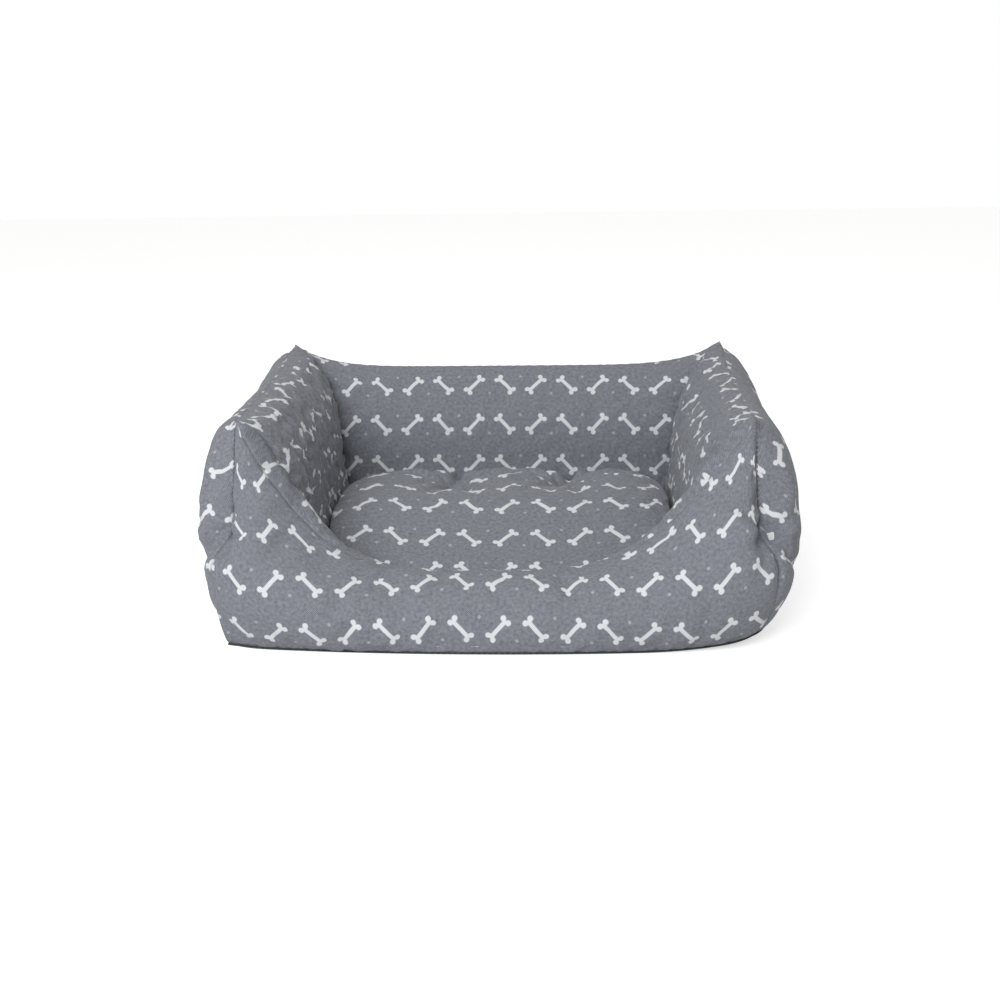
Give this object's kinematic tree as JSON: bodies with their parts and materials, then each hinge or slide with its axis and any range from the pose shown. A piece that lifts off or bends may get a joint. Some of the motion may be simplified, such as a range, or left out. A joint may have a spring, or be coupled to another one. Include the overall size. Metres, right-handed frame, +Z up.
{
  "type": "dog bed with frame",
  "caption": "Sofa-style dog bed: a stuffed fabric surround with high back and sides, a scooped low front and a loose tufted cushion, in grey canvas with a bone print.",
  "frame": {"origin": "centre of the footprint, on the floor", "axes": "+Z up, the low front faces -Y, +X to the right seen from the front"},
  "size_m": [0.6812, 0.525, 0.238],
  "materials": {
    "printed_canvas": "woven",
    "base_cloth": "non-slip coated",
    "polyester_filling": "loose fibre",
    "grey_thread": "thread",
    "zip_tape_cloth": "woven",
    "nylon_teeth": "moulded",
    "zip_metal": "nickel plated"
  },
  "bodies": {
    "surround": {"back_inner_panel": "printed_canvas", "back_outer_panel": "printed_canvas", "back_wall_filling": "polyester_filling", "base_lining": "printed_canvas", "base_panel": "base_cloth", "base_wadding": "polyester_filling", "corner_stitching": "grey_thread", "front_inner_panel": "printed_canvas", "front_outer_panel": "printed_canvas", "front_wall_filling": "polyester_filling", "left_inner_panel": "printed_canvas", "left_outer_panel": "printed_canvas", "left_wall_filling": "polyester_filling", "right_inner_panel": "printed_canvas", "right_outer_panel": "printed_canvas", "right_wall_filling": "polyester_filling"},
    "cushion": {"cushion_bottom_panel": "printed_canvas", "cushion_filling": "polyester_filling", "cushion_top_panel": "printed_canvas", "tuft_cords": "grey_thread", "zip_stops": "zip_metal", "zip_tape_lower": "zip_tape_cloth", "zip_tape_upper": "zip_tape_cloth", "zip_teeth": "nylon_teeth"},
    "zip_slider": {"zip_slider": "zip_metal"},
    "zip_pull": {"zip_pull": "zip_metal"}
  },
  "joints": [
    {"name": "cushion_lift", "type": "slide", "parent": "surround", "child": "cushion", "axis": [0, 0, 1], "range_m": [0, 0.25]},
    {"name": "zip_slide", "type": "slide", "parent": "cushion", "child": "zip_slider", "axis": [-1, 0, 0], "range_m": [0, 0.27]},
    {"name": "pull_hinge", "type": "hinge", "parent": "zip_slider", "child": "zip_pull", "pos_m": [0.14, 0.15125, 0.0461], "axis": [0, 0, -1], "range_deg": [0, 12]}
  ]
}
